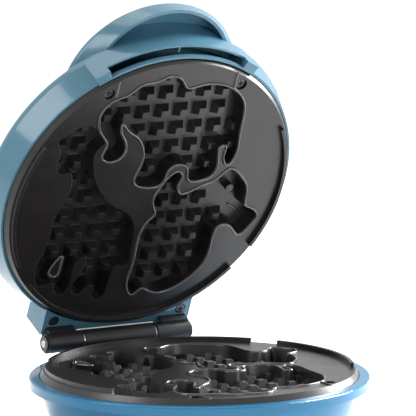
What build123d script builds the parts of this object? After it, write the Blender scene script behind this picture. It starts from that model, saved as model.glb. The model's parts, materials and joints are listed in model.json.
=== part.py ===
"""Round mini waffle maker with a hinged lid, in millimetres.

Z points up from the table, the handle is at -Y and the hinge at +Y.
All pieces are built round the plates' axis, the lid's pieces closed. At the end the
lid is turned open about the hinge, and everything moves so that the origin is the
bottom centre of the whole object's box.
"""
import os
from math import cos, hypot, radians, sin, sqrt, tan

from build123d import *

os.makedirs("parts", exist_ok=True)

# Baking plates, both cast in the same moulds
plate_radius = 95.0
plate_height = 52.0          # cooking face of the lower plate above the table
plate_gap = 6.4              # between the two cooking faces when closed
plate_bevel = 2.0            # how far the rim leans in, seen from above
plate_reveal = 3.5           # how far the rim stands out of its shell
plate_seat_depth = 1.6       # how far the rim sinks into its shell
slab_inset = 4.0             # from the plate's edge to the thick middle
slab_depth = 12.2
lip_height = 2.8
lip_width = 2.2
lip_inset = 1.0              # from the bevel's top edge to the lip
lip_spans = ((-27.0, 55.7), (40.0, 100.0), (151.3, 55.7))

# Moulds in the plates
mould_depth = 9.5
mould_draft = 8.0
stud_pitch = 13.0
stud_base = 9.0
stud_height = 5.3
stud_draft = 24.0
stud_margin = 0.5            # a stud whose middle is this close to the wall is left out
eye_radius = 2.6

# Shells
wall = 2.6
seat_width = 3.2             # ledge that carries a plate
fit = 0.3                    # side gap round a piece that drops in
rim_overhang = 6.5           # base rim outside the plate
rim_thickness = 6.0
bowl_top_radius = 94.6
bowl_mid_radius = 89.0
bowl_foot_radius = 76.0
foot_lift = 3.0              # shell clear of the table
cover_thickness = 2.4
lid_rim_wall = 1.4
lid_skirt_radius = 101.0
lid_skirt_height = 19.0
lid_height = 37.0

# Handle, a hooded visor over a finger pocket
handle_half_angle = 33.0
handle_radius = 101.6
slot_half_angle = 27.5
slot_rib = 1.2
slot_depth = 18.0
second_lip = 7.0
visor_bottom = 21.0
visor_top = 35.0
visor_wall = 2.0
pocket_radius = 45.0         # at the finger pocket's mouth
pocket_centre = -70.5
pocket_draft = 1.5           # how much smaller the pocket is at its roof
visor_radius = 63.5
visor_centre = -51.0

# Hinge
hinge_y = 102.5
barrel_radius = 6.2
pin_radius = 2.5
running_clearance = 0.05
base_barrel_half = 24.5
washer_thickness = 0.9
lid_barrel_start = 25.9
lid_barrel_end = 49.5
hinge_block_half = 51.0
hinge_block_back = 100.0
hinge_block_height = 22.5
barrel_clearance = 0.8
open_angle = 64.0            # lid angle from closed, as it stands here

# Fasteners
screw_head_radius = 3.1
screw_head_height = 1.9
screw_radius = 1.5
screw_clearance = 0.05
recess_clearance = 0.4
head_sink = 1.5              # screw head below the face it is let into
hole_margin = 1.0            # hole past the end of its screw
plate_screw_x = 45.0
plate_screw_y = -75.0
plate_screw_length = 18.0
lid_screw_x = 44.0
lid_screw_y = 90.0
lid_screw_length = 9.0
cover_screw_ring = 65.0
cover_screw_length = 6.5
bracket_screw_x = 14.0
bracket_screw_z = 36.0
bracket_screw_length = 11.0

drive_slot_length = 3.6
drive_slot_width = 0.9
drive_slot_depth = 0.9
boss_radius = 3.6
boss_length = 9.6            # under the lower plate's slab
boss_depth = 10.0

# Heating parts
element_radius = 3.3
element_ring = 62.0
element_sweep = 316.0
terminal_inset = 3.0         # degrees from the element's end to its terminal
terminal_radius = 1.4
terminal_length = 7.0
clip_angles = (210.0, 330.0)
clip_thickness = 0.8
clip_clearance = 0.2
clip_span = 8.0
shield_radius = 80.0
shield_depth = 11.6
shield_thickness = 0.8
wire_hole_y = 45.0
wire_hole_radius = 8.0
thermostat_radius = 7.5
thermostat_height = 8.0
thermostat_tab_length = 24.0
thermostat_tab_width = 7.0
thermostat_tab_thickness = 0.8
blade_span = 22.0            # over the thermostat's two blades
blade_width = 2.8
blade_drop = 1.4             # from the thermostat's top to its blades
fuse_y = -25.0
fuse_radius = 2.0
fuse_length = 14.0
fuse_lead_radius = 0.5
fuse_lead_span = 34.0
block_y = 40.0
block_length = 30.0
block_width = 14.0
block_height = 11.0
block_pitch = 10.0
block_rounding = 0.8

# Base details
rim_rounding = 1.0
cover_radius = 70.0
vent_ring = 38.0
vent_count = 8
vent_length = 22.0
vent_width = 3.0
foot_ring = 58.0
foot_radius = 8.0
foot_taper = 8.0
back_block_half = 30.0
back_block_front = 70.0
back_block_back = 101.6
back_block_bottom = 11.0
inlet_z = 21.0
inlet_radius = 3.7
grommet_flange = 2.0
grommet_flange_radius = 7.0
grommet_neck_radius = 5.2
bracket_bottom = 30.0
bracket_thickness = 4.8
bracket_foot = 4.5
pin_half = 51.2
pin_chamfer = 0.5
washer_inset = 0.6
clip_gap = 0.4
clip_ring = 2.4

# Lid details
block_lift = 2.0
shoulder_in = 2.0
shoulder_up = 6.0
crown_radius = 92.0
crown_edge_height = 28.0
lid_inner_slope = 1.0        # how far the inside widens up to the skirt's top
visor_rounding = 3.0
slot_wall = 1.3
hinge_block_front = 78.0
arm_front = 90.5
arm_back = 98.0
arm_inner = 30.0
arm_outer = 48.3
arm_lift = 0.4
arm_height = 6.0
lug_front = 87.0
lug_inner = 41.5
neck = 3.5
lid_screw_recess = 1.8
lamp_x = 9.0
lamp_y = -52.0
lens_radius = 3.2
lens_length = 6.0
lens_proud = 1.0
lens_rounding = 1.0
lamp_radius = 2.4
lamp_length = 4.6

# Heights and places that follow from the sizes above
lid_face = plate_height + plate_gap
hinge_z = plate_height + plate_gap / 2
plate_drop = plate_reveal + plate_seat_depth
face_radius = plate_radius - plate_bevel
lip_radius = face_radius - lip_inset
slab_radius = plate_radius - slab_inset
seat_radius = plate_radius + fit
rim_radius = plate_radius + rim_overhang
rim_top = plate_height - plate_reveal
rim_bottom = rim_top - rim_thickness
cover_bottom = foot_lift + 0.6
flange_bottom = cover_bottom + cover_thickness
shield_bottom = slab_depth + shield_depth
arm_bottom = lid_face + plate_drop + arm_lift
arm_top = arm_bottom + arm_height
plate_screw_places = [(x, plate_screw_y, 0) for x in (-plate_screw_x, plate_screw_x)]
cover_screw_bottom = cover_bottom - screw_head_height
plate_hole_depth = plate_screw_length + head_sink - slab_depth + hole_margin
foot_place = foot_ring * cos(radians(45))
hinge_axis = Axis((0, hinge_y, hinge_z), (1, 0, 0))

# Outlines of the three moulds, seen through the closed lid from above
elephant = (
    (-47, -58), (-45, -65), (-39, -70), (-31, -73), (-24, -79), (-15, -80.5), (-5, -84), (2, -81),
    (7, -75), (17, -76), (29, -76), (41, -71), (49.5, -61), (51.5, -48), (52.5, -34), (53, -25),
    (49.5, -18), (46, -24), (45.5, -32), (41.5, -32), (41, -22), (40, -11), (33, -8), (25, -9),
    (22.5, -17), (16, -21), (9, -18), (6, -8), (-4, -6), (-12.5, -10), (-11, -20), (-11.5, -33),
    (-18, -43), (-26, -49), (-31.5, -54), (-32, -49), (-27, -40), (-26, -31), (-32, -27), (-39, -30),
    (-37.5, -38), (-43, -47),
)
giraffe = (
    (-71, -45), (-66, -48.5), (-59, -53), (-50, -52), (-43, -46), (-39.5, -41), (-44, -35),
    (-44, -24), (-41, -15), (-37, -8), (-30, 1), (-21, 8), (-12, 13), (-6, 21), (-4, 31), (-3, 42),
    (-5.5, 51.5), (-11, 51), (-13.5, 57), (-14, 67), (-17.5, 75), (-23, 73), (-24, 64), (-27.5, 64),
    (-33, 70), (-38, 67), (-37.5, 59), (-33, 50), (-35, 42), (-39.5, 46), (-40.5, 60), (-45, 69),
    (-50, 66), (-53, 59.5), (-58, 61), (-62.5, 61), (-66, 54), (-66.5, 46), (-64.5, 37),
    (-62.5, 28), (-62.5, 17), (-60, 5), (-56.5, -4), (-56, -14), (-59, -20.5), (-65, -20),
    (-69, -26), (-69, -37),
)
giraffe_island = ((-51.5, 41), (-55, 47), (-55.5, 53), (-52.5, 54), (-51, 48))
hippo = (
    (17, -14), (19, -10), (17.5, -4), (21, 2), (28, 1), (36, -3), (44, -6), (53, -13.5), (60, -8.5),
    (66, -1), (68, 8), (69, 14), (76, 18), (79.5, 23), (77, 28.5), (74.5, 32), (71, 35), (66, 31),
    (60, 26.5), (54, 27.5), (51.5, 34), (51.5, 44), (50, 54), (44, 63), (35, 70), (25, 73.5),
    (16, 71.5), (10, 69.5), (5, 73.5), (1, 69), (0.5, 55), (0.5, 40), (1, 27), (5, 19), (7.5, 16),
    (4.5, 7), (7, -5), (12, -12.5),
)
hippo_eye = (58.6, 3.4)
# Middle and radius of each round patch of floor that has no studs, by the eye and the mouth
bare_patches = ((hippo_eye, 9.0), ((66.0, 13.0), 12.5))
# Each figure's outline, its island if it has one, and one stud of its grid
figures = (
    (elephant, None, (-0.8, -41.8)),
    (giraffe, giraffe_island, (-40.0, 16.0)),
    (hippo, None, (28.0, 37.0)),
)


def crown_height(radius):
    """Height of the crown's outside over the lid's cooking face, so far from its middle."""
    rise = lid_height - crown_edge_height
    sphere = (crown_radius ** 2 + rise ** 2) / (2 * rise)
    return lid_height - sphere + sqrt(sphere ** 2 - radius ** 2)


def inset(outline, distance):
    """The outline's points, each moved inwards square to the line between its neighbours."""
    area = sum(a[0] * b[1] - b[0] * a[1] for a, b in zip(outline, outline[1:] + outline[:1]))
    turn = 1 if area > 0 else -1
    moved = []
    for before, point, after in zip(outline[-1:] + outline[:-1], outline, outline[1:] + outline[:1]):
        along = Vector(after[0] - before[0], after[1] - before[1]).normalized()
        moved.append((point[0] - turn * distance * along.Y, point[1] + turn * distance * along.X))
    return tuple(moved)


def figure_face(outline):
    """Flat face inside one smooth closed outline."""
    with BuildSketch() as sketch:
        with BuildLine():
            Spline(*outline, periodic=True)
        make_face()
    return sketch.sketch


def stud_places(outline, island, start):
    """Grid points of a mould where a whole stud stands clear of the walls."""
    room = figure_face(inset(outline, stud_margin))
    if island:
        room -= figure_face(inset(island, -stud_margin))
    count = int(plate_radius / stud_pitch) + 2
    steps = range(-count, count + 1)
    grid = [(start[0] + i * stud_pitch, start[1] + j * stud_pitch) for i in steps for j in steps]
    for middle, radius in bare_patches:
        grid = [p for p in grid if hypot(p[0] - middle[0], p[1] - middle[1]) > radius]
    return [p for p in grid if any(face.is_inside(Vector(*p, 0)) for face in room.faces())]


def ring_sector(inner, outer, start, span):
    """Sector of a flat ring about the origin."""
    with BuildSketch() as sector:
        with BuildLine():
            far = CenterArc((0, 0), outer, start, span)
            near = CenterArc((0, 0), inner, start, span)
            Line(far @ 0, near @ 0)
            Line(far @ 1, near @ 1)
        make_face()
    return sector.sketch


def waffle_plate():
    """Cast plate with its cooking face at Z=0, facing down as in the closed lid."""
    studs = []
    with BuildPart() as plate:
        with BuildSketch(Plane.XZ):
            with BuildLine():
                Polyline(
                    (0, 0), (face_radius, 0), (plate_radius, plate_reveal), (plate_radius, plate_drop),
                    (slab_radius, plate_drop), (slab_radius, slab_depth), (0, slab_depth), close=True,
                )
            make_face()
        revolve(axis=Axis.Z)
        for start, span in lip_spans:
            with BuildSketch():
                add(ring_sector(lip_radius - lip_width, lip_radius, start, span))
            extrude(amount=-lip_height)
        for outline, island, start in figures:
            with BuildSketch():
                add(figure_face(outline))
            with BuildSketch(Plane.XY.offset(mould_depth)):
                add(figure_face(inset(outline, mould_depth * tan(radians(mould_draft)))))
            loft(ruled=True, mode=Mode.SUBTRACT)
            if island:
                with BuildSketch():
                    add(figure_face(island))
                extrude(amount=mould_depth)
            studs += stud_places(outline, island, start)
        with BuildSketch(Plane.XY.offset(mould_depth)):
            with Locations(*studs):
                Rectangle(stud_base, stud_base)
        extrude(amount=-stud_height, taper=stud_draft)
        with Locations((*hippo_eye, mould_depth)):
            Cylinder(eye_radius, stud_height, align=(Align.CENTER, Align.CENTER, Align.MAX))
        with Locations(*plate_screw_places):
            Cylinder(
                screw_head_radius + recess_clearance, 2 * (screw_head_height + head_sink),
                mode=Mode.SUBTRACT,
            )
            Cylinder(screw_radius + recess_clearance, 3 * slab_depth, mode=Mode.SUBTRACT)
    return plate.part


def screws(places, length):
    """Pan-head screws, heads down at the given places and shanks up."""
    with BuildPart() as group:
        with Locations(*places):
            Cylinder(
                screw_head_radius, screw_head_height, align=(Align.CENTER, Align.CENTER, Align.MIN),
            )
            Cylinder(screw_radius, length, align=(Align.CENTER, Align.CENTER, Align.MIN))
            with Locations((0, 0, 0)):
                Box(
                    drive_slot_length, drive_slot_width, 2 * drive_slot_depth, mode=Mode.SUBTRACT,
                )
                Box(
                    drive_slot_width, drive_slot_length, 2 * drive_slot_depth, mode=Mode.SUBTRACT,
                )
    return group.part


def arm_outline(side, grow):
    """Plan of a lid bracket's arm, with a lug in front that takes the screw."""
    with BuildSketch() as outline:
        for inner, front in ((arm_inner, arm_front), (lug_inner, lug_front)):
            with Locations((side * (inner + arm_outer) / 2, (front + arm_back) / 2)):
                Rectangle(arm_outer - inner + 2 * grow, arm_back - front + 2 * grow)
    return outline.sketch


def heating_element():
    """Tubular ring element lying on a plate's back, with a terminal at each end."""
    height = slab_depth + element_radius
    half_gap = (360 - element_sweep) / 2
    with BuildPart() as element:
        with BuildSketch(Plane.XZ.rotated((0, 0, 90 + half_gap))):
            with Locations((element_ring, height)):
                Circle(element_radius)
        revolve(axis=Axis.Z, revolution_arc=element_sweep)
        for angle in (90 - half_gap - terminal_inset, 90 + half_gap + terminal_inset):
            place = (element_ring * cos(radians(angle)), element_ring * sin(radians(angle)), height)
            with Locations(place):
                Cylinder(
                    terminal_radius, terminal_length, align=(Align.CENTER, Align.CENTER, Align.MIN),
                )
    return element.part


def element_clips():
    """Straps that hold the element against the plate, each a U round the tube."""
    room = 2 * (element_radius + clip_clearance)
    with BuildPart() as clips:
        for angle in clip_angles:
            with BuildSketch(Plane.XZ.rotated((0, 0, angle))):
                with Locations((element_ring, slab_depth + (room + clip_thickness) / 2)):
                    Rectangle(room + 2 * clip_thickness, room + clip_thickness)
                with Locations((element_ring, slab_depth + room / 2)):
                    Rectangle(room, room, mode=Mode.SUBTRACT)
            extrude(amount=clip_span / 2, both=True)
    return clips.part


def heat_shield():
    """Shallow aluminium tray that closes over the element, with its rim on the plate's back."""
    with BuildPart() as shield:
        with BuildSketch(Plane.XY.offset(slab_depth)):
            Circle(shield_radius)
        extrude(amount=shield_depth)
        with BuildSketch(Plane.XY.offset(slab_depth)):
            Circle(shield_radius - shield_thickness)
        extrude(amount=shield_depth - shield_thickness, mode=Mode.SUBTRACT)
        with Locations((0, wire_hole_y, shield_bottom)):
            Cylinder(wire_hole_radius, 4 * shield_thickness, mode=Mode.SUBTRACT)
    return shield.part


plate = waffle_plate()
to_lower = Location((0, 0, plate_height))
to_upper = Location((0, 0, lid_face))

# Lower half: everything that stands still

lower_plate = mirror(plate, about=Plane.XY).moved(to_lower)
lower_plate.label = "lower_plate"

lower_heating_element = mirror(heating_element(), about=Plane.XY).moved(to_lower)
lower_heating_element.label = "lower_heating_element"

lower_element_clips = mirror(element_clips(), about=Plane.XY).moved(to_lower)
lower_element_clips.label = "lower_element_clips"

lower_heat_shield = mirror(heat_shield(), about=Plane.XY).moved(to_lower)
lower_heat_shield.label = "lower_heat_shield"

lower_plate_screws = mirror(
    screws(plate_screw_places, plate_screw_length), about=Plane.XY
).moved(Location((0, 0, plate_height - head_sink)))
lower_plate_screws.label = "lower_plate_screws"

with BuildPart() as base_shell:
    with BuildSketch(Plane.XZ):
        with BuildLine():
            Line((0, foot_lift), (bowl_foot_radius, foot_lift))
            ThreePointArc(
                (bowl_foot_radius, foot_lift),
                (bowl_mid_radius, (foot_lift + rim_bottom) / 2),
                (bowl_top_radius, rim_bottom),
            )
            Polyline(
                (bowl_top_radius, rim_bottom), (rim_radius, rim_bottom), (rim_radius, rim_top),
                (0, rim_top), (0, foot_lift),
            )
        make_face()
    revolve(axis=Axis.Z)
    fillet(base_shell.edges().filter_by(GeomType.CIRCLE).group_by(Axis.Z)[-1], rim_rounding)
    back_middle = (back_block_front + back_block_back) / 2
    with Locations((0, back_middle, back_block_bottom)):
        Box(
            2 * back_block_half, back_block_back - back_block_front,
            rim_bottom + wall - back_block_bottom,
            align=(Align.CENTER, Align.CENTER, Align.MIN),
        )
    with BuildSketch(Plane.XZ):
        with BuildLine():
            Line((0, flange_bottom + wall), (bowl_foot_radius - wall, flange_bottom + wall))
            ThreePointArc(
                (bowl_foot_radius - wall, flange_bottom + wall),
                (bowl_mid_radius - wall, (foot_lift + rim_bottom) / 2),
                (plate_radius - seat_width, rim_bottom),
            )
            Polyline(
                (plate_radius - seat_width, rim_bottom),
                (plate_radius - seat_width, plate_height - plate_drop),
                (seat_radius, plate_height - plate_drop), (seat_radius, plate_height),
                (0, plate_height), (0, flange_bottom + wall),
            )
        make_face()
    revolve(axis=Axis.Z, mode=Mode.SUBTRACT)
    with Locations((0, back_middle - wall, back_block_bottom + wall)):
        Box(
            2 * (back_block_half - wall), back_block_back - back_block_front,
            rim_bottom - back_block_bottom - 2 * wall,
            align=(Align.CENTER, Align.CENTER, Align.MIN), mode=Mode.SUBTRACT,
        )
    Cylinder(
        cover_radius + fit, flange_bottom, align=(Align.CENTER, Align.CENTER, Align.MIN),
        mode=Mode.SUBTRACT,
    )
    Cylinder(cover_screw_ring - boss_radius, plate_height / 2, mode=Mode.SUBTRACT)
    with PolarLocations(cover_screw_ring, 4):
        Cylinder(screw_radius + screw_clearance, plate_height / 2, mode=Mode.SUBTRACT)
    boss_top = plate_height - slab_depth
    with Locations(*[(x, y, boss_top) for x, y, _ in plate_screw_places]):
        Cylinder(boss_radius, boss_length, align=(Align.CENTER, Align.CENTER, Align.MAX))
        Cylinder(
            screw_radius + screw_clearance, plate_hole_depth,
            align=(Align.CENTER, Align.CENTER, Align.MAX), mode=Mode.SUBTRACT,
        )
    for x in (-bracket_screw_x, bracket_screw_x):
        with Locations(Location((x, back_block_back, bracket_screw_z), (90, 0, 0))):
            Cylinder(boss_radius, boss_depth, align=(Align.CENTER, Align.CENTER, Align.MIN))
            Cylinder(
                screw_radius + screw_clearance, bracket_screw_length - bracket_thickness + hole_margin,
                align=(Align.CENTER, Align.CENTER, Align.MIN), mode=Mode.SUBTRACT,
            )
    with Locations(Location((0, back_block_back, inlet_z), (90, 0, 0))):
        Cylinder(grommet_neck_radius + fit / 2, 3 * wall, mode=Mode.SUBTRACT)
base_shell.part.label = "base_shell"

with BuildPart() as base_cover:
    with BuildSketch(Plane.XY.offset(cover_bottom)):
        Circle(cover_radius)
        with PolarLocations(cover_screw_ring, 4):
            Circle(screw_radius + recess_clearance, mode=Mode.SUBTRACT)
        with PolarLocations(vent_ring, vent_count, start_angle=180 / vent_count):
            SlotOverall(vent_length, vent_width, mode=Mode.SUBTRACT)
    extrude(amount=cover_thickness)
base_cover.part.label = "base_cover"

cover_screws = screws(
    [
        (cover_screw_ring * cos(radians(a)), cover_screw_ring * sin(radians(a)), cover_screw_bottom)
        for a in (0, 90, 180, 270)
    ],
    cover_screw_length,
)
cover_screws.label = "cover_screws"

with BuildPart() as rubber_feet:
    with BuildSketch():
        with PolarLocations(foot_ring, 4, start_angle=45):
            Circle(foot_radius)
    extrude(amount=cover_bottom, taper=-foot_taper)
rubber_feet.part.label = "rubber_feet"

with BuildPart() as thermostat:
    with BuildSketch(Plane.XY.offset(slab_depth)):
        Rectangle(thermostat_tab_length, thermostat_tab_width)
        Circle(thermostat_radius)
    extrude(amount=thermostat_tab_thickness)
    with BuildSketch(Plane.XY.offset(slab_depth)):
        Circle(thermostat_radius)
    extrude(amount=thermostat_height)
    with Locations((0, 0, slab_depth + thermostat_height - blade_drop)):
        Box(blade_span, blade_width, thermostat_tab_thickness)
thermostat = mirror(thermostat.part, about=Plane.XY).moved(to_lower)
thermostat.label = "thermostat"

with BuildPart() as thermal_fuse:
    with Locations(Location((0, fuse_y, slab_depth + fuse_radius), (0, 90, 0))):
        Cylinder(fuse_radius, fuse_length)
        Cylinder(fuse_lead_radius, fuse_lead_span)
thermal_fuse = mirror(thermal_fuse.part, about=Plane.XY).moved(to_lower)
thermal_fuse.label = "thermal_fuse"

with BuildPart() as fuse_clip:
    with BuildSketch(Plane.YZ):
        with Locations((fuse_y, slab_depth + fuse_radius + clip_thickness / 2)):
            Rectangle(
                2 * (fuse_radius + clip_thickness + screw_clearance), 2 * fuse_radius + clip_thickness
            )
        with Locations((fuse_y, slab_depth + fuse_radius)):
            Rectangle(2 * (fuse_radius + screw_clearance), 2 * fuse_radius, mode=Mode.SUBTRACT)
    extrude(amount=fuse_length / 4, both=True)
fuse_clip = mirror(fuse_clip.part, about=Plane.XY).moved(to_lower)
fuse_clip.label = "fuse_clip"

with BuildPart() as terminal_block:
    with Locations((0, block_y, cover_bottom + cover_thickness)):
        Box(block_length, block_width, block_height, align=(Align.CENTER, Align.CENTER, Align.MIN))
        with GridLocations(block_pitch, 0, 3, 1):
            with Locations((0, 0, block_height)):
                Cylinder(screw_radius, block_height, mode=Mode.SUBTRACT)
    fillet(terminal_block.edges().filter_by(Axis.Z).group_by(Axis.X)[-1], block_rounding)
    fillet(terminal_block.edges().filter_by(Axis.Z).group_by(Axis.X)[0], block_rounding)
terminal_block.part.label = "terminal_block"

with BuildPart() as cord_grommet:
    with BuildSketch(Plane.XZ.offset(-back_block_back)):
        with Locations((0, inlet_z)):
            Circle(grommet_flange_radius)
    extrude(amount=-grommet_flange)
    with BuildSketch(Plane.XZ.offset(-back_block_back)):
        with Locations((0, inlet_z)):
            Circle(grommet_neck_radius)
    extrude(amount=wall + grommet_flange)
    with Locations(Location((0, back_block_back, inlet_z), (90, 0, 0))):
        Cylinder(inlet_radius, 8 * wall, mode=Mode.SUBTRACT)
cord_grommet.part.label = "cord_grommet"

with BuildPart() as base_hinge_bracket:
    with BuildSketch(Plane.YZ):
        with Locations((hinge_y, hinge_z)):
            Circle(barrel_radius)
        with BuildLine():
            Polyline(
                (back_block_back, bracket_bottom),
                (back_block_back + bracket_thickness, bracket_bottom),
                (back_block_back + bracket_thickness, hinge_z), (hinge_y - bracket_foot, hinge_z),
                (hinge_y - bracket_foot, rim_top), (back_block_back, rim_top), close=True,
            )
        make_face()
        with Locations((hinge_y, hinge_z)):
            Circle(pin_radius + running_clearance, mode=Mode.SUBTRACT)
    extrude(amount=base_barrel_half, both=True)
    for x in (-bracket_screw_x, bracket_screw_x):
        with Locations(Location((x, back_block_back, bracket_screw_z), (90, 0, 0))):
            Cylinder(screw_radius + recess_clearance, 4 * bracket_thickness, mode=Mode.SUBTRACT)
base_hinge_bracket.part.label = "base_hinge_bracket"

bracket_screws = screws([(x, 0, 0) for x in (-bracket_screw_x, bracket_screw_x)], bracket_screw_length)
bracket_screws = bracket_screws.moved(
    Location((0, back_block_back + bracket_thickness + screw_head_height, bracket_screw_z), (90, 0, 0))
)
bracket_screws.label = "bracket_screws"

with BuildPart() as hinge_pin:
    with Locations(Location((0, hinge_y, hinge_z), (0, 90, 0))):
        Cylinder(pin_radius, 2 * pin_half)
    chamfer(hinge_pin.edges().filter_by(GeomType.CIRCLE), pin_chamfer)
hinge_pin.part.label = "hinge_pin"

with BuildPart() as friction_washers:
    for side in (-1, 1):
        with BuildSketch(Plane.YZ.offset(side * base_barrel_half)):
            with Locations((hinge_y, hinge_z)):
                Circle(barrel_radius - washer_inset)
                Circle(pin_radius + running_clearance, mode=Mode.SUBTRACT)
        extrude(amount=side * washer_thickness)
friction_washers.part.label = "friction_washers"

with BuildPart() as pin_clips:
    for side in (-1, 1):
        with BuildSketch(Plane.YZ.offset(side * (lid_barrel_end + clip_gap))):
            with Locations((hinge_y, hinge_z)):
                Circle(pin_radius + clip_ring)
                Circle(pin_radius + running_clearance, mode=Mode.SUBTRACT)
        extrude(amount=side * clip_thickness)
pin_clips.part.label = "pin_clips"

# Lid: built closed, turned open at the end

lid_rim = lid_face + plate_reveal
neck_front = arm_back - neck - fit
neck_back = hinge_block_back + wall
lid_inner_radius = plate_radius - seat_width
outer_edge = (crown_radius, lid_face + crown_edge_height)
inner_edge = (crown_radius - lid_inner_slope, lid_face + crown_edge_height - wall)
with BuildPart() as lid_visor:
    with BuildSketch(Plane.XY.offset(lid_face + visor_bottom)):
        with Locations((0, pocket_centre)):
            Circle(pocket_radius + visor_wall)
    with BuildSketch(Plane.XY.offset(lid_face + visor_top)):
        with Locations((0, visor_centre)):
            Circle(visor_radius)
    loft()
    fillet(lid_visor.edges().group_by(Axis.Z)[-1], visor_rounding)

with BuildPart() as finger_pocket:
    with BuildSketch(Plane.XY.offset(lid_face + visor_bottom)):
        with Locations((0, pocket_centre)):
            Circle(pocket_radius)
    with BuildSketch(Plane.XY.offset(lid_face + visor_top - visor_wall)):
        with Locations((0, pocket_centre + pocket_draft)):
            Circle(pocket_radius - pocket_draft)
    loft()
    with Locations((0, 0, lid_face)):
        Cylinder(handle_radius, 4 * lid_height, mode=Mode.SUBTRACT)

with BuildPart() as lid_shell:
    with BuildSketch(Plane.XZ):
        with BuildLine():
            Line((0, lid_rim), (seat_radius + lid_rim_wall, lid_rim))
            Line((seat_radius + lid_rim_wall, lid_rim), (lid_skirt_radius, lid_face + lid_skirt_height))
            ThreePointArc(
                (lid_skirt_radius, lid_face + lid_skirt_height),
                (lid_skirt_radius - shoulder_in, lid_face + lid_skirt_height + shoulder_up),
                outer_edge,
            )
            TangentArc((0, lid_face + lid_height), outer_edge, tangent=(1, 0))
            Line((0, lid_face + lid_height), (0, lid_rim))
        make_face()
    revolve(axis=Axis.Z)
    with BuildSketch(Plane.XY.offset(lid_face + block_lift)):
        add(ring_sector(
            lid_inner_radius, handle_radius, 270 - handle_half_angle, 2 * handle_half_angle
        ))
    extrude(amount=visor_bottom - block_lift)
    add(lid_visor.part)
    with Locations((0, (hinge_block_front + hinge_block_back) / 2, lid_face + block_lift)):
        Box(
            2 * hinge_block_half, hinge_block_back - hinge_block_front, hinge_block_height - block_lift,
            align=(Align.CENTER, Align.CENTER, Align.MIN),
        )
    with BuildSketch(Plane.XZ):
        with BuildLine():
            Polyline(
                (0, lid_face - wall), (seat_radius, lid_face - wall), (seat_radius, lid_face + plate_drop),
                (lid_inner_radius, lid_face + plate_drop),
                (lid_inner_radius + lid_inner_slope, lid_face + lid_skirt_height),
                inner_edge,
            )
            TangentArc((0, lid_face + lid_height - wall), inner_edge, tangent=(1, 0))
            Line((0, lid_face + lid_height - wall), (0, lid_face - wall))
        make_face()
    revolve(axis=Axis.Z, mode=Mode.SUBTRACT)
    add(finger_pocket.part, mode=Mode.SUBTRACT)
    with BuildSketch(Plane.XY.offset(lid_face)):
        add(ring_sector(
            seat_radius + lid_rim_wall, handle_radius - slot_wall,
            270 - slot_half_angle, 2 * slot_half_angle,
        ))
        with Locations((0, -handle_radius)):
            Rectangle(slot_rib, 2 * (handle_radius - seat_radius), mode=Mode.SUBTRACT)
    extrude(amount=slot_depth, mode=Mode.SUBTRACT)
    with BuildSketch(Plane.XY.offset(lid_face + plate_drop)):
        add(ring_sector(
            lid_inner_radius - wall, seat_radius + lid_rim_wall,
            270 - slot_half_angle, 2 * slot_half_angle,
        ))
    extrude(amount=slot_depth - plate_drop, mode=Mode.SUBTRACT)
    with BuildSketch(Plane.XY.offset(lid_face)):
        add(ring_sector(
            seat_radius + lid_rim_wall, handle_radius + wall,
            270 - slot_half_angle, 2 * slot_half_angle,
        ))
    extrude(amount=second_lip, mode=Mode.SUBTRACT)
    for side in (-1, 1):
        with BuildSketch(Plane.XY.offset(arm_bottom - fit)):
            add(arm_outline(side, fit))
        extrude(amount=arm_height + 2 * fit, mode=Mode.SUBTRACT)
        with BuildSketch(Plane.XY.offset(lid_face)):
            with Locations((side * (arm_inner + arm_outer) / 2, (neck_front + neck_back) / 2)):
                Rectangle(arm_outer - arm_inner + 2 * fit, neck_back - neck_front)
        extrude(amount=arm_top + fit - lid_face, mode=Mode.SUBTRACT)
        with Locations((side * lid_screw_x, lid_screw_y, lid_face + block_lift)):
            Cylinder(
                screw_head_radius + recess_clearance, 2 * lid_screw_recess, mode=Mode.SUBTRACT,
            )
            Cylinder(screw_radius + recess_clearance, 4 * wall, mode=Mode.SUBTRACT)
    with Locations(Location((0, hinge_y, hinge_z), (0, 90, 0))):
        Cylinder(barrel_radius + barrel_clearance, 3 * hinge_block_half, mode=Mode.SUBTRACT)
    boss_bottom = lid_face + slab_depth
    boss_top = lid_face + crown_height(hypot(plate_screw_x, plate_screw_y)) - wall / 2
    with Locations(*[(x, y, boss_bottom) for x, y, _ in plate_screw_places]):
        Cylinder(boss_radius, boss_top - boss_bottom, align=(Align.CENTER, Align.CENTER, Align.MIN))
        Cylinder(
            screw_radius + screw_clearance, plate_hole_depth,
            align=(Align.CENTER, Align.CENTER, Align.MIN), mode=Mode.SUBTRACT,
        )
    with Locations(*[(x, lamp_y, lid_face + lid_height) for x in (-lamp_x, lamp_x)]):
        Cylinder(lens_radius + screw_clearance, 2 * lens_length + 2 * wall, mode=Mode.SUBTRACT)
lid_shell.part.label = "lid_shell"

upper_plate = plate.moved(to_upper)
upper_plate.label = "upper_plate"
upper_heating_element = heating_element().moved(to_upper)
upper_heating_element.label = "upper_heating_element"
upper_element_clips = element_clips().moved(to_upper)
upper_element_clips.label = "upper_element_clips"
upper_heat_shield = heat_shield().moved(to_upper)
upper_heat_shield.label = "upper_heat_shield"
upper_plate_screws = screws(plate_screw_places, plate_screw_length).moved(
    Location((0, 0, lid_face + head_sink))
)
upper_plate_screws.label = "upper_plate_screws"


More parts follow.
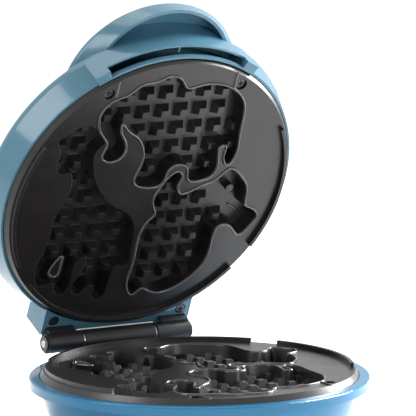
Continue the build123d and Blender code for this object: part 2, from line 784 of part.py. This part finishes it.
def lid_hinge_bracket(side):
    """Black knuckle whose arm reaches into the lid's hinge block."""
    with BuildPart() as bracket:
        with BuildSketch(Plane.YZ.offset(side * lid_barrel_start)):
            with Locations((hinge_y, hinge_z)):
                Circle(barrel_radius)
        extrude(amount=side * (lid_barrel_end - lid_barrel_start))
        with BuildSketch(Plane.YZ.offset(side * arm_inner)):
            with BuildLine():
                Polyline(
                    (arm_back - neck, hinge_z), (arm_back - neck, arm_bottom), (arm_back, arm_top),
                    (hinge_y + barrel_radius / 2, hinge_z + barrel_radius / 2), (hinge_y, hinge_z),
                    close=True,
                )
            make_face()
        extrude(amount=side * (arm_outer - arm_inner))
        with BuildSketch(Plane.XY.offset(arm_bottom)):
            add(arm_outline(side, 0))
        extrude(amount=arm_height)
        with Locations(Location((side * lid_barrel_start, hinge_y, hinge_z), (0, 90, 0))):
            Cylinder(pin_radius + running_clearance, 2 * lid_barrel_end, mode=Mode.SUBTRACT)
        with Locations((side * lid_screw_x, lid_screw_y, arm_bottom)):
            Cylinder(screw_radius + screw_clearance, 4 * arm_height, mode=Mode.SUBTRACT)
    return bracket.part


left_lid_hinge_bracket = lid_hinge_bracket(-1)
left_lid_hinge_bracket.label = "left_lid_hinge_bracket"
right_lid_hinge_bracket = lid_hinge_bracket(1)
right_lid_hinge_bracket.label = "right_lid_hinge_bracket"

lid_screw_bottom = lid_face + block_lift + lid_screw_recess - screw_head_height
lid_bracket_screws = screws(
    [(x, lid_screw_y, lid_screw_bottom) for x in (-lid_screw_x, lid_screw_x)], lid_screw_length
)
lid_bracket_screws.label = "lid_bracket_screws"


lid_top_at_lamp = max(crown_height(hypot(lamp_x, lamp_y)), visor_top)
lamp_seat = lid_face + lid_top_at_lamp + lens_proud - lens_length


def lamp_lens(x):
    """Domed lens standing a little proud of the lid's top."""
    with BuildPart() as lens:
        with Locations((x, lamp_y, lamp_seat)):
            Cylinder(lens_radius, lens_length, align=(Align.CENTER, Align.CENTER, Align.MIN))
        fillet(lens.edges().group_by(Axis.Z)[-1], lens_rounding)
    return lens.part


power_lens = lamp_lens(-lamp_x)
power_lens.label = "power_lens"
ready_lens = lamp_lens(lamp_x)
ready_lens.label = "ready_lens"

with BuildPart() as indicator_lamps:
    with Locations(*[(x, lamp_y, lamp_seat) for x in (-lamp_x, lamp_x)]):
        Cylinder(lamp_radius, lamp_length, align=(Align.CENTER, Align.CENTER, Align.MAX))
indicator_lamps.part.label = "indicator_lamps"

base_pieces = [
    base_shell.part, base_cover.part, cover_screws, rubber_feet.part, lower_plate, lower_plate_screws,
    lower_heating_element, lower_element_clips, lower_heat_shield, thermostat, thermal_fuse, fuse_clip,
    terminal_block.part, cord_grommet.part, base_hinge_bracket.part, bracket_screws, hinge_pin.part,
    friction_washers.part, pin_clips.part,
]
lid_pieces = [
    lid_shell.part, upper_plate, upper_plate_screws, upper_heating_element, upper_element_clips,
    upper_heat_shield, left_lid_hinge_bracket, right_lid_hinge_bracket, lid_bracket_screws, power_lens,
    ready_lens, indicator_lamps.part,
]

opened_pieces = []
for piece in lid_pieces:
    opened = piece.rotate(hinge_axis, -open_angle)
    opened.label = piece.label
    opened_pieces.append(opened)

boxes = [piece.bounding_box() for piece in base_pieces + opened_pieces]
middle_x = (min(box.min.X for box in boxes) + max(box.max.X for box in boxes)) / 2
middle_y = (min(box.min.Y for box in boxes) + max(box.max.Y for box in boxes)) / 2
to_origin = Location((-middle_x, -middle_y, 0))
for piece in base_pieces + opened_pieces:
    placed = piece.moved(to_origin)
    placed.label = piece.label
    export_step(placed, f"parts/{placed.label}.step")

print("plates' axis", round(-middle_x, 3), round(-middle_y, 3))
print("lid hinge", round(-middle_x, 3), round(hinge_y - middle_y, 3), round(hinge_z, 3))
print("foot", round(foot_place - middle_x, 3), round(foot_place - middle_y, 3), 0)
print("cord inlet", round(-middle_x, 3), round(back_block_back - middle_y, 3), inlet_z)
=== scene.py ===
# %% [markdown]
# # A small waffle maker, finished in Blender
# The construction comes as a imported frame: every casing, plate and screw already has its
# shape, place and size. This lesson adds what a frame can't hold. It lights the appliance,
# gives each surface its finish, and raises the fine beads round the moulds.

# %% Load the frame and measure its parts
import json
from math import cos, radians, sin

import bmesh
import bpy
from mathutils import Matrix, Vector


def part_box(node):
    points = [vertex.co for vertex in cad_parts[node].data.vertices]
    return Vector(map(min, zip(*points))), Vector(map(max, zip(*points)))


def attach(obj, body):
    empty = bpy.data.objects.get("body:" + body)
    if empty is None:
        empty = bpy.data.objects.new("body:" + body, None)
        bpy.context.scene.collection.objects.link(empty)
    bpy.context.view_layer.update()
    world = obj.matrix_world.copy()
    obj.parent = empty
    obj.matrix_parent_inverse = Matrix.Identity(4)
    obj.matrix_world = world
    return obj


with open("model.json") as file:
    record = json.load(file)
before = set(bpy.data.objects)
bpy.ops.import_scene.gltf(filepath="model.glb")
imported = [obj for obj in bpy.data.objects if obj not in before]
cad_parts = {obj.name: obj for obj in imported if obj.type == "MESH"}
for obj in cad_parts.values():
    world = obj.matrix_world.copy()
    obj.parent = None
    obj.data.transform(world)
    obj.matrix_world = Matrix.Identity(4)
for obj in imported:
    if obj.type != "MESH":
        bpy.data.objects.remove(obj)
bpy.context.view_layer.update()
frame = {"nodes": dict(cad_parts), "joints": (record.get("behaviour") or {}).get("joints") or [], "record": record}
record = frame["record"]
print("nodes:", len(frame["nodes"]))

# %% [markdown]
# ## The camera
# The picture was taken with a long lens from the front left, a little above the table.
# A long lens keeps the two round plates as calm ellipses. The angle, the distance and the
# small sideways shift were found by fitting the outlines of both plates and the hinge.

# %% Camera
camera_azimuth = radians(-30.15)
camera_elevation = radians(8.9)
camera_distance = 2.798
camera_target = Vector((0.0234, -0.0264, 0.1487))
picture_width = 416
focal_pixels = 4730
centre_column = 245
sensor_width = 36
farthest_seen = 50

backwards = Vector((
    sin(camera_azimuth) * cos(camera_elevation),
    -cos(camera_azimuth) * cos(camera_elevation),
    sin(camera_elevation),
))
camera_data = bpy.data.cameras.new("camera")
camera_data.sensor_width = sensor_width
camera_data.lens = focal_pixels / picture_width * sensor_width
camera_data.shift_x = (picture_width / 2 - centre_column) / picture_width
camera_data.clip_end = farthest_seen
camera = bpy.data.objects.new("camera", camera_data)
camera.location = camera_target + backwards * camera_distance
camera.rotation_euler = backwards.to_track_quat("Z", "Y").to_euler()
bpy.context.scene.collection.objects.link(camera)
bpy.context.scene.camera = camera
print("lens:", round(camera_data.lens), "mm, shift:", round(camera_data.shift_x, 3))

# %% [markdown]
# ## Writing a shader as arithmetic
# A finish is mostly formulas: a colour, plus a little noise, times a mask. Linking nodes by
# hand hides that, so one small class lets Python's own signs add the Math nodes.

# %% A value on its way through a shader
class Value:
    """A number or colour on its way through a shader."""

    def __init__(self, finish, socket):
        self.finish = finish
        self.socket = socket

    def math(self, operation, first, second):
        return self.finish.node("ShaderNodeMath", {"operation": operation}, {0: first, 1: second})

    def __add__(self, other):
        return self.math("ADD", self, other)

    def __radd__(self, other):
        return self.math("ADD", other, self)

    def __sub__(self, other):
        return self.math("SUBTRACT", self, other)

    def __rsub__(self, other):
        return self.math("SUBTRACT", other, self)

    def __mul__(self, other):
        return self.math("MULTIPLY", self, other)

    def __rmul__(self, other):
        return self.math("MULTIPLY", other, self)


print("values add, subtract and multiply")

# %% [markdown]
# ## A finish while it is being made
# The second class holds one material. Its `node` method adds any other node, and the short
# methods after it name what the recipes need: noise in the piece's own coordinates, patches
# cut out of that noise, and two colours mixed. A Mix node has sockets for each kind of data,
# so its colour sockets are named here by their positions.

# %% A finish being made
mix_factor, mix_first, mix_second, mix_result = 0, 6, 7, 2


class Finish:
    """A material while it is being made."""

    def __init__(self, name):
        self.material = bpy.data.materials.new(name)
        self.material.use_nodes = True
        self.tree = self.material.node_tree
        self.shader = self.tree.nodes["Principled BSDF"]

    def feed(self, socket, source):
        if isinstance(source, Value):
            self.tree.links.new(source.socket, socket)
        else:
            socket.default_value = source

    def node(self, kind, settings, inputs, output=0):
        made = self.tree.nodes.new(kind)
        for name, setting in settings.items():
            setattr(made, name, setting)
        for name, source in inputs.items():
            self.feed(made.inputs[name], source)
        return Value(self, made.outputs[output])

    def surface(self, **inputs):
        for name, source in inputs.items():
            self.feed(self.shader.inputs[name.replace("_", " ").title()], source)

    def place(self, stretch=(1, 1, 1)):
        where = self.node("ShaderNodeTexCoord", {}, {}, "Object")
        return self.node("ShaderNodeMapping", {}, {"Vector": where, "Scale": stretch})

    def noise(self, scale, detail, stretch=(1, 1, 1)):
        sizes = {"Vector": self.place(stretch), "Scale": scale, "Detail": detail}
        return self.node("ShaderNodeTexNoise", {}, sizes)

    def patches(self, scale, detail, low, high):
        """A mask: none of it where the noise is below low, all of it above high."""
        cloud = self.noise(scale, detail)
        limits = {"Value": cloud, "From Min": low, "From Max": high}
        return self.node("ShaderNodeMapRange", {}, limits)

    def mix(self, mask, first, second):
        """Two colours mixed by a mask. Either may be plain numbers or a value."""
        start, end = (
            colour if isinstance(colour, Value) else (*colour, 1) for colour in (first, second)
        )
        sources = {mix_factor: mask, mix_first: start, mix_second: end}
        return self.node("ShaderNodeMix", {"data_type": "RGBA"}, sources, mix_result)


print("shader helpers ready")

# %% [markdown]
# ## One recipe for most surfaces
# Injection-moulded plastic, cast metal and rubber differ in their numbers more than in kind.
# Each has a colour that drifts a little, a gloss that varies with handling, a fine grain in
# its surface, and edges that are never truly sharp. The Bevel node rounds those edges for
# the light alone, which puts the thin bright line on a rim that real castings have.
# Gloss is written as Blender's roughness, from the shiniest spot to the dullest one. Each
# kind of patch below is the scale and detail of its noise, and the range of it that counts.

# %% The recipe
drift_patches = (24, 4, 0.3, 0.7)
handling_patches = (90, 5, 0.35, 0.75)
scuff_patches = (260, 6, 0.68, 0.74)
scuff_cover = 0.5
scuff_dulling = 0.15
grain_detail = 4
edge_samples = 4


def made_surface(
    name, colour, drift, gloss, grain_scale, grain_height, edge=0.0005, metallic=0.0, coat=0.0,
    coat_gloss=0.04, stretch=(1, 1, 1), worn=None,
):
    finish = Finish(name)
    tone = finish.patches(*drift_patches)
    low, high = gloss
    handled = finish.patches(*handling_patches)
    roughness = low + (high - low) * handled
    shade = finish.mix(tone, colour, drift)
    if worn:
        scuffs = finish.patches(*scuff_patches)
        shade = finish.mix(scuffs * scuff_cover, shade, worn)
        roughness = roughness + scuff_dulling * scuffs
    rounded = finish.node("ShaderNodeBevel", {"samples": edge_samples}, {"Radius": edge})
    grain = finish.noise(grain_scale, grain_detail, stretch)
    bumped = finish.node(
        "ShaderNodeBump", {},
        {"Strength": 1.0, "Distance": grain_height, "Height": grain, "Normal": rounded},
    )
    finish.surface(
        base_color=shade, roughness=roughness, metallic=metallic, normal=bumped,
        coat_weight=coat, coat_roughness=coat_gloss,
    )
    return finish.material


print("surface recipe ready")

# %% [markdown]
# ## The finishes
# The lid is a greyed steel blue and the base a strong azure, both glossy. The plates carry a
# black non-stick coat, which is half matt and faintly speckled. The beads on them are glossier,
# and their much lighter grey, with lighter scuffs, is a painted highlight that draws their
# bright lines. The knuckles of the hinge are dark grey plastic with a spark-eroded texture,
# so they stay dull beside the shells.

# %% Finishes of the outside
finishes = {
    "base_plastic": made_surface(
        "azure gloss", (0.005, 0.245, 0.50), (0.007, 0.26, 0.52), (0.09, 0.15),
        900, 0.00001, coat=0.3, worn=(0.02, 0.29, 0.53),
    ),
    "lid_plastic": made_surface(
        "steel blue gloss", (0.115, 0.295, 0.415), (0.13, 0.315, 0.435), (0.16, 0.26),
        900, 0.00001, coat=0.3, worn=(0.16, 0.34, 0.46),
    ),
    "black_plastic": made_surface(
        "hinge plastic", (0.016, 0.016, 0.020), (0.020, 0.020, 0.025), (0.45, 0.60),
        1500, 0.00006,
    ),
    "nonstick": made_surface(
        "nonstick coat", (0.013, 0.011, 0.011), (0.019, 0.016, 0.015), (0.28, 0.40),
        1800, 0.00004, edge=0.0006, coat=0.4, coat_gloss=0.3, worn=(0.035, 0.032, 0.030),
    ),
    # The beads' light grey and lighter scuffs are a painted highlight; the lower roughness is their real extra
    # gloss.
    "bead_nonstick_painted_highlight": made_surface(
        "bead nonstick with painted highlight", (0.095, 0.088, 0.090), (0.14, 0.13, 0.133), (0.12, 0.20),
        1800, 0.00002, metallic=0.6, coat=0.5, worn=(0.24, 0.23, 0.23),
    ),
}
print("finishes of the outside:", len(finishes))

# %% [markdown]
# ## Metal, ceramic, rubber and lamps
# The works and the feet are plain: zinc-plated steel, rolled aluminium, steatite and rubber.
# The two lenses on the lid are made as glossy coloured plastic and not as tinted glass,
# because nothing behind them has to show.

# %% Finishes of the works and lamps
finishes.update({
    "steel": made_surface(
        "zinc steel", (0.55, 0.55, 0.57), (0.48, 0.48, 0.50), (0.22, 0.38),
        1200, 0.00002, metallic=1.0, stretch=(1, 1, 12),
    ),
    # Blackened steel: its dark colour partly paints the shade that falls on the screws in their recesses.
    "dark_steel": made_surface(
        "blackened steel and painted shade", (0.09, 0.09, 0.10), (0.13, 0.13, 0.14), (0.30, 0.45),
        1500, 0.00002, metallic=1.0, worn=(0.35, 0.35, 0.36),
    ),
    "bright_aluminium": made_surface(
        "rolled aluminium", (0.78, 0.78, 0.80), (0.70, 0.70, 0.72), (0.20, 0.34),
        900, 0.00002, metallic=1.0, stretch=(20, 1, 1),
    ),
    "ceramic": made_surface(
        "steatite", (0.80, 0.78, 0.72), (0.74, 0.72, 0.66), (0.50, 0.66), 1400, 0.00003,
    ),
    "rubber": made_surface(
        "black rubber", (0.025, 0.025, 0.026), (0.035, 0.035, 0.035), (0.62, 0.80),
        1100, 0.00005,
    ),
    "red_lens": made_surface(
        "red lens", (0.55, 0.02, 0.015), (0.60, 0.03, 0.02), (0.05, 0.09),
        500, 0.000005, coat=0.6,
    ),
    "green_lens": made_surface(
        "green lens", (0.02, 0.40, 0.10), (0.03, 0.45, 0.12), (0.05, 0.09),
        500, 0.000005, coat=0.6,
    ),
    "lamp_glass": made_surface(
        "lamp glass", (0.80, 0.72, 0.62), (0.84, 0.76, 0.66), (0.04, 0.08), 500, 0.000005,
    ),
})
print("finishes:", len(finishes))

# %% [markdown]
# ## Dressing the nodes
# Each node takes the finish of the slot that the record gives it. The screws in the plates
# and in the lid's brackets then get blackened steel, because bright heads would stand out
# there. Their dark colour is partly painted shade: it stands for the shade in their recesses.

# %% Each node takes the finish of its slot
# The screws given the dark steel, whose colour is partly painted shade.
screws_with_painted_shade = ("upper_plate_screws", "lower_plate_screws", "lid_bracket_screws")


def dress(node_name, finish_name):
    for material_slot in frame["nodes"][node_name].material_slots:
        material_slot.material = finishes[finish_name]


for subpart in record["subparts"]:
    dress(subpart["node"], subpart["material_slot"])
for screws in screws_with_painted_shade:
    dress(screws, "dark_steel")
print("dressed:", len(record["subparts"]), "of them blackened:", len(screws_with_painted_shade))

# %% [markdown]
# ## Where the beads run
# A fine raised bead follows the edge of every mould, on both plates. It is glossier than the
# face, and its lighter grey is a painted highlight, which draws a thin bright line. Its path
# is already in the casting: it is the edge where the flat cooking face turns down into a
# mould. So the path is read from the plate rather than drawn again, which keeps the two in step.
# A plate is first laid flat, face up at height zero. The lower plate only drops down. The
# upper plate is closed about the hinge and then mirrored in height.

# %% Lay a plate flat
hinge = frame["joints"][0]
hinge_place = Vector(hinge["pos_m"])
hinge_line = Vector(hinge["axis"])
closing_angle = radians(hinge["range_deg"][0])
lip_height = 0.0028
lower_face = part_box("lower_plate")[1].z - lip_height
upper_face = 2 * hinge_place.z - lower_face

lower_flat = Matrix.Translation((0, 0, -lower_face))
close_lid = (
    Matrix.Translation(hinge_place)
    @ Matrix.Rotation(closing_angle, 4, hinge_line)
    @ Matrix.Translation(-hinge_place)
)
face_up = Matrix.Diagonal((1, 1, -1, 1))
upper_flat = face_up @ Matrix.Translation((0, 0, -upper_face)) @ close_lid
print("cooking faces when closed:", round(lower_face, 4), round(upper_face, 4))

# %% [markdown]
# ## Finding the edges
# An edge belongs to a mould where it lies in the cooking face, with a flat triangle on one
# side and a steep one on the other. Edges that share a point are then walked into loops.
# Loops that reach out to the plate's rim, and those of a few points, are left out.

# %% Find and walk the edges
face_tolerance = 0.00005
steep = 0.6
flat = 0.99


def joined_points(casting):
    """For each point of a mould edge, the points it is joined to."""
    rim = {}
    for edge in casting.edges:
        level = all(abs(vert.co.z) < face_tolerance for vert in edge.verts)
        if not level or len(edge.link_faces) != 2:
            continue
        slopes = sorted(abs(face.normal.z) for face in edge.link_faces)
        if slopes[0] < steep and slopes[1] > flat:
            first, second = edge.verts
            rim.setdefault(first.index, []).append(second.index)
            rim.setdefault(second.index, []).append(first.index)
    return rim


def walked(rim):
    """The edges as walks, each a list of point numbers in order."""
    walks = []
    left = set(rim)
    while left:
        walk = [left.pop()]
        while True:
            ahead = [index for index in rim[walk[-1]] if index in left]
            if not ahead:
                break
            walk.append(ahead[0])
            left.discard(ahead[0])
        walks.append(walk)
    return walks


print("a wall is steep below", steep, "and a face is flat above", flat)

# %% Read the mould edges
plate_middle = Vector((0, (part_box("lower_plate")[0].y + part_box("lower_plate")[1].y) / 2, 0))
mould_reach = 0.086
weld_distance = 0.000005
fewest_points = 4


def is_mould(points):
    farthest = max((point - plate_middle).length for point in points)
    return len(points) > fewest_points and farthest < mould_reach


def mould_edges(node_name, lay_flat):
    """The plate's mould outlines as loops of points at height zero."""
    casting = bmesh.new()
    casting.from_mesh(frame["nodes"][node_name].data)
    casting.transform(lay_flat)
    bmesh.ops.remove_doubles(casting, verts=casting.verts, dist=weld_distance)
    casting.normal_update()
    rim = joined_points(casting)
    casting.verts.ensure_lookup_table()
    places = {index: casting.verts[index].co.copy() for index in rim}
    casting.free()
    loops = [[places[index] for index in walk] for walk in walked(rim)]
    return [points for points in loops if is_mould(points)]


lower_loops = mould_edges("lower_plate", lower_flat)
upper_loops = mould_edges("upper_plate", upper_flat)
print("mould edges:", [len(loop) for loop in lower_loops], [len(loop) for loop in upper_loops])

# %% [markdown]
# ## Sweeping the bead
# Geometry Nodes turn each path into a round bead, half sunk in the face. The tree takes the
# bead's radius and the spacing of its points as named inputs, evens out the points, sweeps a
# circle along the path and gives it the bead's finish, whose light grey is a painted
# highlight. A line has two ends, which are capped. A loop has none.

# %% The bead's node tree
bead_sides = 10
bead_inputs = {"Path": "Geometry", "Bead Radius": "Float", "Point Spacing": "Float"}


def bead_tree(material):
    tree = bpy.data.node_groups.new("mould bead", "GeometryNodeTree")
    for title, kind in bead_inputs.items():
        tree.interface.new_socket(title, in_out="INPUT", socket_type="NodeSocket" + kind)
    tree.interface.new_socket("Bead", in_out="OUTPUT", socket_type="NodeSocketGeometry")
    nodes = tree.nodes
    entry = nodes.new("NodeGroupInput")
    path = nodes.new("GeometryNodeMeshToCurve")
    even = nodes.new("GeometryNodeResampleCurve")
    even.mode = "LENGTH"
    section = nodes.new("GeometryNodeCurvePrimitiveCircle")
    section.inputs["Resolution"].default_value = bead_sides
    sweep = nodes.new("GeometryNodeCurveToMesh")
    sweep.inputs["Fill Caps"].default_value = True
    smooth = nodes.new("GeometryNodeSetShadeSmooth")
    realize = nodes.new("GeometryNodeRealizeInstances")
    coat = nodes.new("GeometryNodeSetMaterial")
    coat.inputs["Material"].default_value = material
    leave = nodes.new("NodeGroupOutput")
    for source, output, target, entrance in (
        (entry, "Path", path, "Mesh"),
        (path, "Curve", even, "Curve"),
        (entry, "Point Spacing", even, "Length"),
        (entry, "Bead Radius", section, "Radius"),
        (even, "Curve", sweep, "Curve"),
        (section, "Curve", sweep, "Profile Curve"),
        (sweep, "Mesh", smooth, "Geometry"),
        (smooth, "Geometry", realize, "Geometry"),
        (realize, "Geometry", coat, "Geometry"),
        (coat, "Geometry", leave, "Bead"),
    ):
        tree.links.new(source.outputs[output], target.inputs[entrance])
    return tree


# The beads take the finish whose light grey is a painted highlight.
tree = bead_tree(finishes["bead_nonstick_painted_highlight"])
print("bead tree:", len(tree.nodes), "nodes")

# %% [markdown]
# ## The paths of the beads
# A bead stands on the face and not over the mould, so a loop is first moved outwards by the
# bead's radius. Which way is outwards depends on the direction of the walk, and the sign of
# the loop's area tells it. A line stays where it is drawn.

# %% Paths
bead_radius = 0.00085
bead_spacing = 0.0012


def outwards(points):
    """Each point moved off the mould by the bead's radius."""
    count = len(points)
    area = sum(
        points[i - 1].x * points[i].y - points[i].x * points[i - 1].y for i in range(count)
    )
    turn = 1 if area > 0 else -1
    moved = []
    for i in range(count):
        along = (points[(i + 1) % count] - points[i - 1]).normalized()
        moved.append(points[i] + turn * bead_radius * Vector((along.y, -along.x, 0)))
    return moved


def path_mesh(name, loops, lines, stand_up):
    """Closed loops and open lines as one mesh of bare edges."""
    verts = []
    edges = []
    for loop in loops:
        start = len(verts)
        verts += outwards(loop)
        edges += [(start + i, start + (i + 1) % len(loop)) for i in range(len(loop))]
    for line in lines:
        start = len(verts)
        verts += line
        edges += [(start + i, start + i + 1) for i in range(len(line) - 1)]
    path = bpy.data.meshes.new(name)
    path.from_pydata([stand_up @ vert for vert in verts], edges, [])
    return path


print("bead:", 2 * bead_radius, "m wide")

# %% [markdown]
# ## Raising the beads
# The tree runs on a throwaway object that holds the paths. Its inputs are set by the
# sockets' identifiers, before it is first evaluated. The result becomes a plain mesh on a
# new object, which then rides with its plate.

# %% Raise the beads on a plate
def socket_named(tree, name):
    return next(item.identifier for item in tree.interface.items_tree if item.name == name)


def raise_beads(name, loops, lines, lay_flat, body):
    """Beads along closed mould edges and open lines, as one mesh on one body."""
    maker = bpy.data.objects.new(
        name + "_maker", path_mesh(name + "_path", loops, lines, lay_flat.inverted())
    )
    bpy.context.scene.collection.objects.link(maker)
    modifier = maker.modifiers.new("bead", "NODES")
    modifier.node_group = tree
    modifier[socket_named(tree, "Bead Radius")] = bead_radius
    modifier[socket_named(tree, "Point Spacing")] = bead_spacing
    evaluated = maker.evaluated_get(bpy.context.evaluated_depsgraph_get())
    mesh = bpy.data.meshes.new_from_object(evaluated)
    mesh.name = name
    bpy.data.objects.remove(maker)
    bead = bpy.data.objects.new(name, mesh)
    bpy.context.scene.collection.objects.link(bead)
    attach(bead, body)
    print(name, "faces:", len(mesh.polygons))


print("inputs:", [socket_named(tree, name) for name in ("Bead Radius", "Point Spacing")])

# %% [markdown]
# ## The mouth and the screw lands
# Two features of the casting are lines and not loops. The hippo's mouth is a short rib on
# the floor of its mould, and a narrow land runs inwards beside each plate screw. They are
# given in millimetres from the plate's middle.

# %% Draw the lines and raise all beads
millimetre = 0.001
mould_depth = 9.5
mouth_line = ((63.5, 18.5), (68.5, 22.0), (73.5, 26.5))
land_side = 40.2
land_ends = (-84.0, -73.0)


def on_plate(x, y, depth=0.0):
    """A place on a plate laid flat, in millimetres from its middle and below its face."""
    return plate_middle + Vector((x, y, -depth)) * millimetre


mouth = [on_plate(x, y, mould_depth) for x, y in mouth_line]
screw_lands = [[on_plate(side * land_side, end) for end in land_ends] for side in (-1, 1)]
cast_lines = [mouth] + screw_lands
raise_beads("lower_mould_beads", lower_loops, cast_lines, lower_flat, "base")
raise_beads("upper_mould_beads", upper_loops, cast_lines, upper_flat, "lid")
print("lines on each plate:", len(cast_lines))

# %% [markdown]
# ## Studio
# The appliance stands on a white table in soft light. The world is white to the camera and
# nearly so to mirror-like rays, so glossy plastic has something clean to reflect. To all
# other rays it is dim, and only fills the shadows.

# %% World
mirror_share = 0.75
fill_level = 0.14
white = (1, 1, 1, 1)

world = bpy.data.worlds.new("studio")
bpy.context.scene.world = world
world.use_nodes = True
sky = world.node_tree
seen = sky.nodes.new("ShaderNodeLightPath")
either = sky.nodes.new("ShaderNodeMath")
either.operation = "MAXIMUM"
gloss_part = sky.nodes.new("ShaderNodeMath")
gloss_part.operation = "MULTIPLY"
gloss_part.inputs[1].default_value = mirror_share
level = sky.nodes.new("ShaderNodeMapRange")
level.inputs["To Min"].default_value = fill_level
level.inputs["To Max"].default_value = 1.0
sky.links.new(seen.outputs["Is Glossy Ray"], gloss_part.inputs[0])
sky.links.new(seen.outputs["Is Camera Ray"], either.inputs[0])
sky.links.new(gloss_part.outputs[0], either.inputs[1])
sky.links.new(either.outputs[0], level.inputs["Value"])
sky.links.new(level.outputs["Result"], sky.nodes["Background"].inputs["Strength"])
sky.nodes["Background"].inputs["Color"].default_value = white
print("world strength:", fill_level, "to", level.inputs["To Max"].default_value)

# %% [markdown]
# ## The table
# The table is matt and nearly white. It glows to the camera, which hides where it meets the
# world and leaves the appliance's shadow on it, and less to mirror-like rays.

# %% Table
table_half = 4.0
table_white = (0.93, 0.93, 0.93, 1)
table_roughness = 0.9
camera_glow = 0.85
mirror_glow = 0.3

table_mesh = bpy.data.meshes.new("table")
table_mesh.from_pydata(
    [(-table_half, -table_half, 0), (table_half, -table_half, 0),
     (table_half, table_half, 0), (-table_half, table_half, 0)], [], [(0, 1, 2, 3)],
)
table = bpy.data.objects.new("table", table_mesh)
bpy.context.scene.collection.objects.link(table)
table_finish = Finish("table white")
table_finish.surface(base_color=table_white, roughness=table_roughness)
to_camera = table_finish.node("ShaderNodeLightPath", {}, {}, "Is Camera Ray")
to_mirror = table_finish.node("ShaderNodeLightPath", {}, {}, "Is Glossy Ray")
glow = to_camera * camera_glow + to_mirror * mirror_glow
table_finish.surface(emission_color=white, emission_strength=glow)
table_mesh.materials.append(table_finish.material)
print("table side:", 2 * table_half, "m")

# %% [markdown]
# ## Softboxes
# One strong softbox on the right, a little behind the middle, models the round shells. A
# weak one on the left, one overhead and a small low one in front keep the shaded sides
# readable. More light from the left washes out the blue of the shell.

# %% Softboxes
light_aim = (0, 0, 0.1)
softboxes = {
    "right softbox": ((1.2, 0.1, 0.7), (0.6, 0.9), 38),
    "left softbox": ((-1.2, 0.1, 0.9), (0.6, 0.8), 6),
    "top softbox": ((0, 0.3, 1.4), (1.0, 1.0), 5),
    "front softbox": ((0.5, -1.5, 0.35), (0.5, 0.35), 3),
}


def softbox(name, place, size, watts):
    data = bpy.data.lights.new(name, "AREA")
    data.shape = "RECTANGLE"
    data.size, data.size_y = size
    data.energy = watts
    lamp = bpy.data.objects.new(name, data)
    lamp.location = place
    lamp.rotation_euler = (Vector(place) - Vector(light_aim)).to_track_quat("Z", "Y").to_euler()
    bpy.context.scene.collection.objects.link(lamp)


for name, (place, size, watts) in softboxes.items():
    softbox(name, place, size, watts)
print("softboxes:", len(softboxes))

# %% [markdown]
# ## The colour transform
# The plain colour transform shows colours as written.

# %% Finish
bpy.context.scene.view_settings.view_transform = "Standard"
